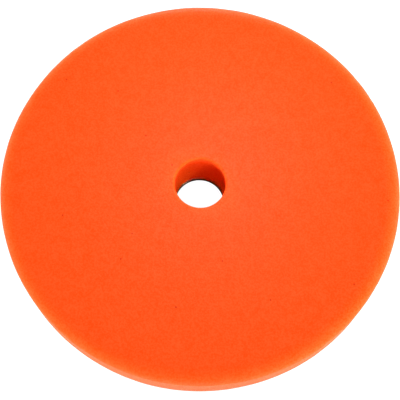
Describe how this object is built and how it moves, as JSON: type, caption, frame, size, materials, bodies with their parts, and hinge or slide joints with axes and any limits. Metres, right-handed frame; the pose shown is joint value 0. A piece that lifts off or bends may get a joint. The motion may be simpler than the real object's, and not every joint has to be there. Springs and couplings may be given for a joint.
{
  "type": "polishing pad",
  "caption": "Round open-cell foam polishing pad with a plain flat face, a centre hole, a bevelled back edge and a hook-and-loop fabric backing.",
  "frame": {"origin": "centre of the loop face, the flat underside that grips the polisher's hook plate", "axes": "+Z along the bore axis, from the loop face towards the polishing face; X and Y lie in the loop face and are interchangeable, because the pad is round"},
  "size_m": [0.16, 0.16, 0.025],
  "materials": {
    "foam": "matte",
    "hot_melt": "satin",
    "knit_ground": "matte",
    "loop_yarn": "matte"
  },
  "bodies": {
    "root": {"foam_disc": "foam", "adhesive_film": "hot_melt", "loop_ground_fabric": "knit_ground", "loop_pile": "loop_yarn"}
  },
  "joints": []
}
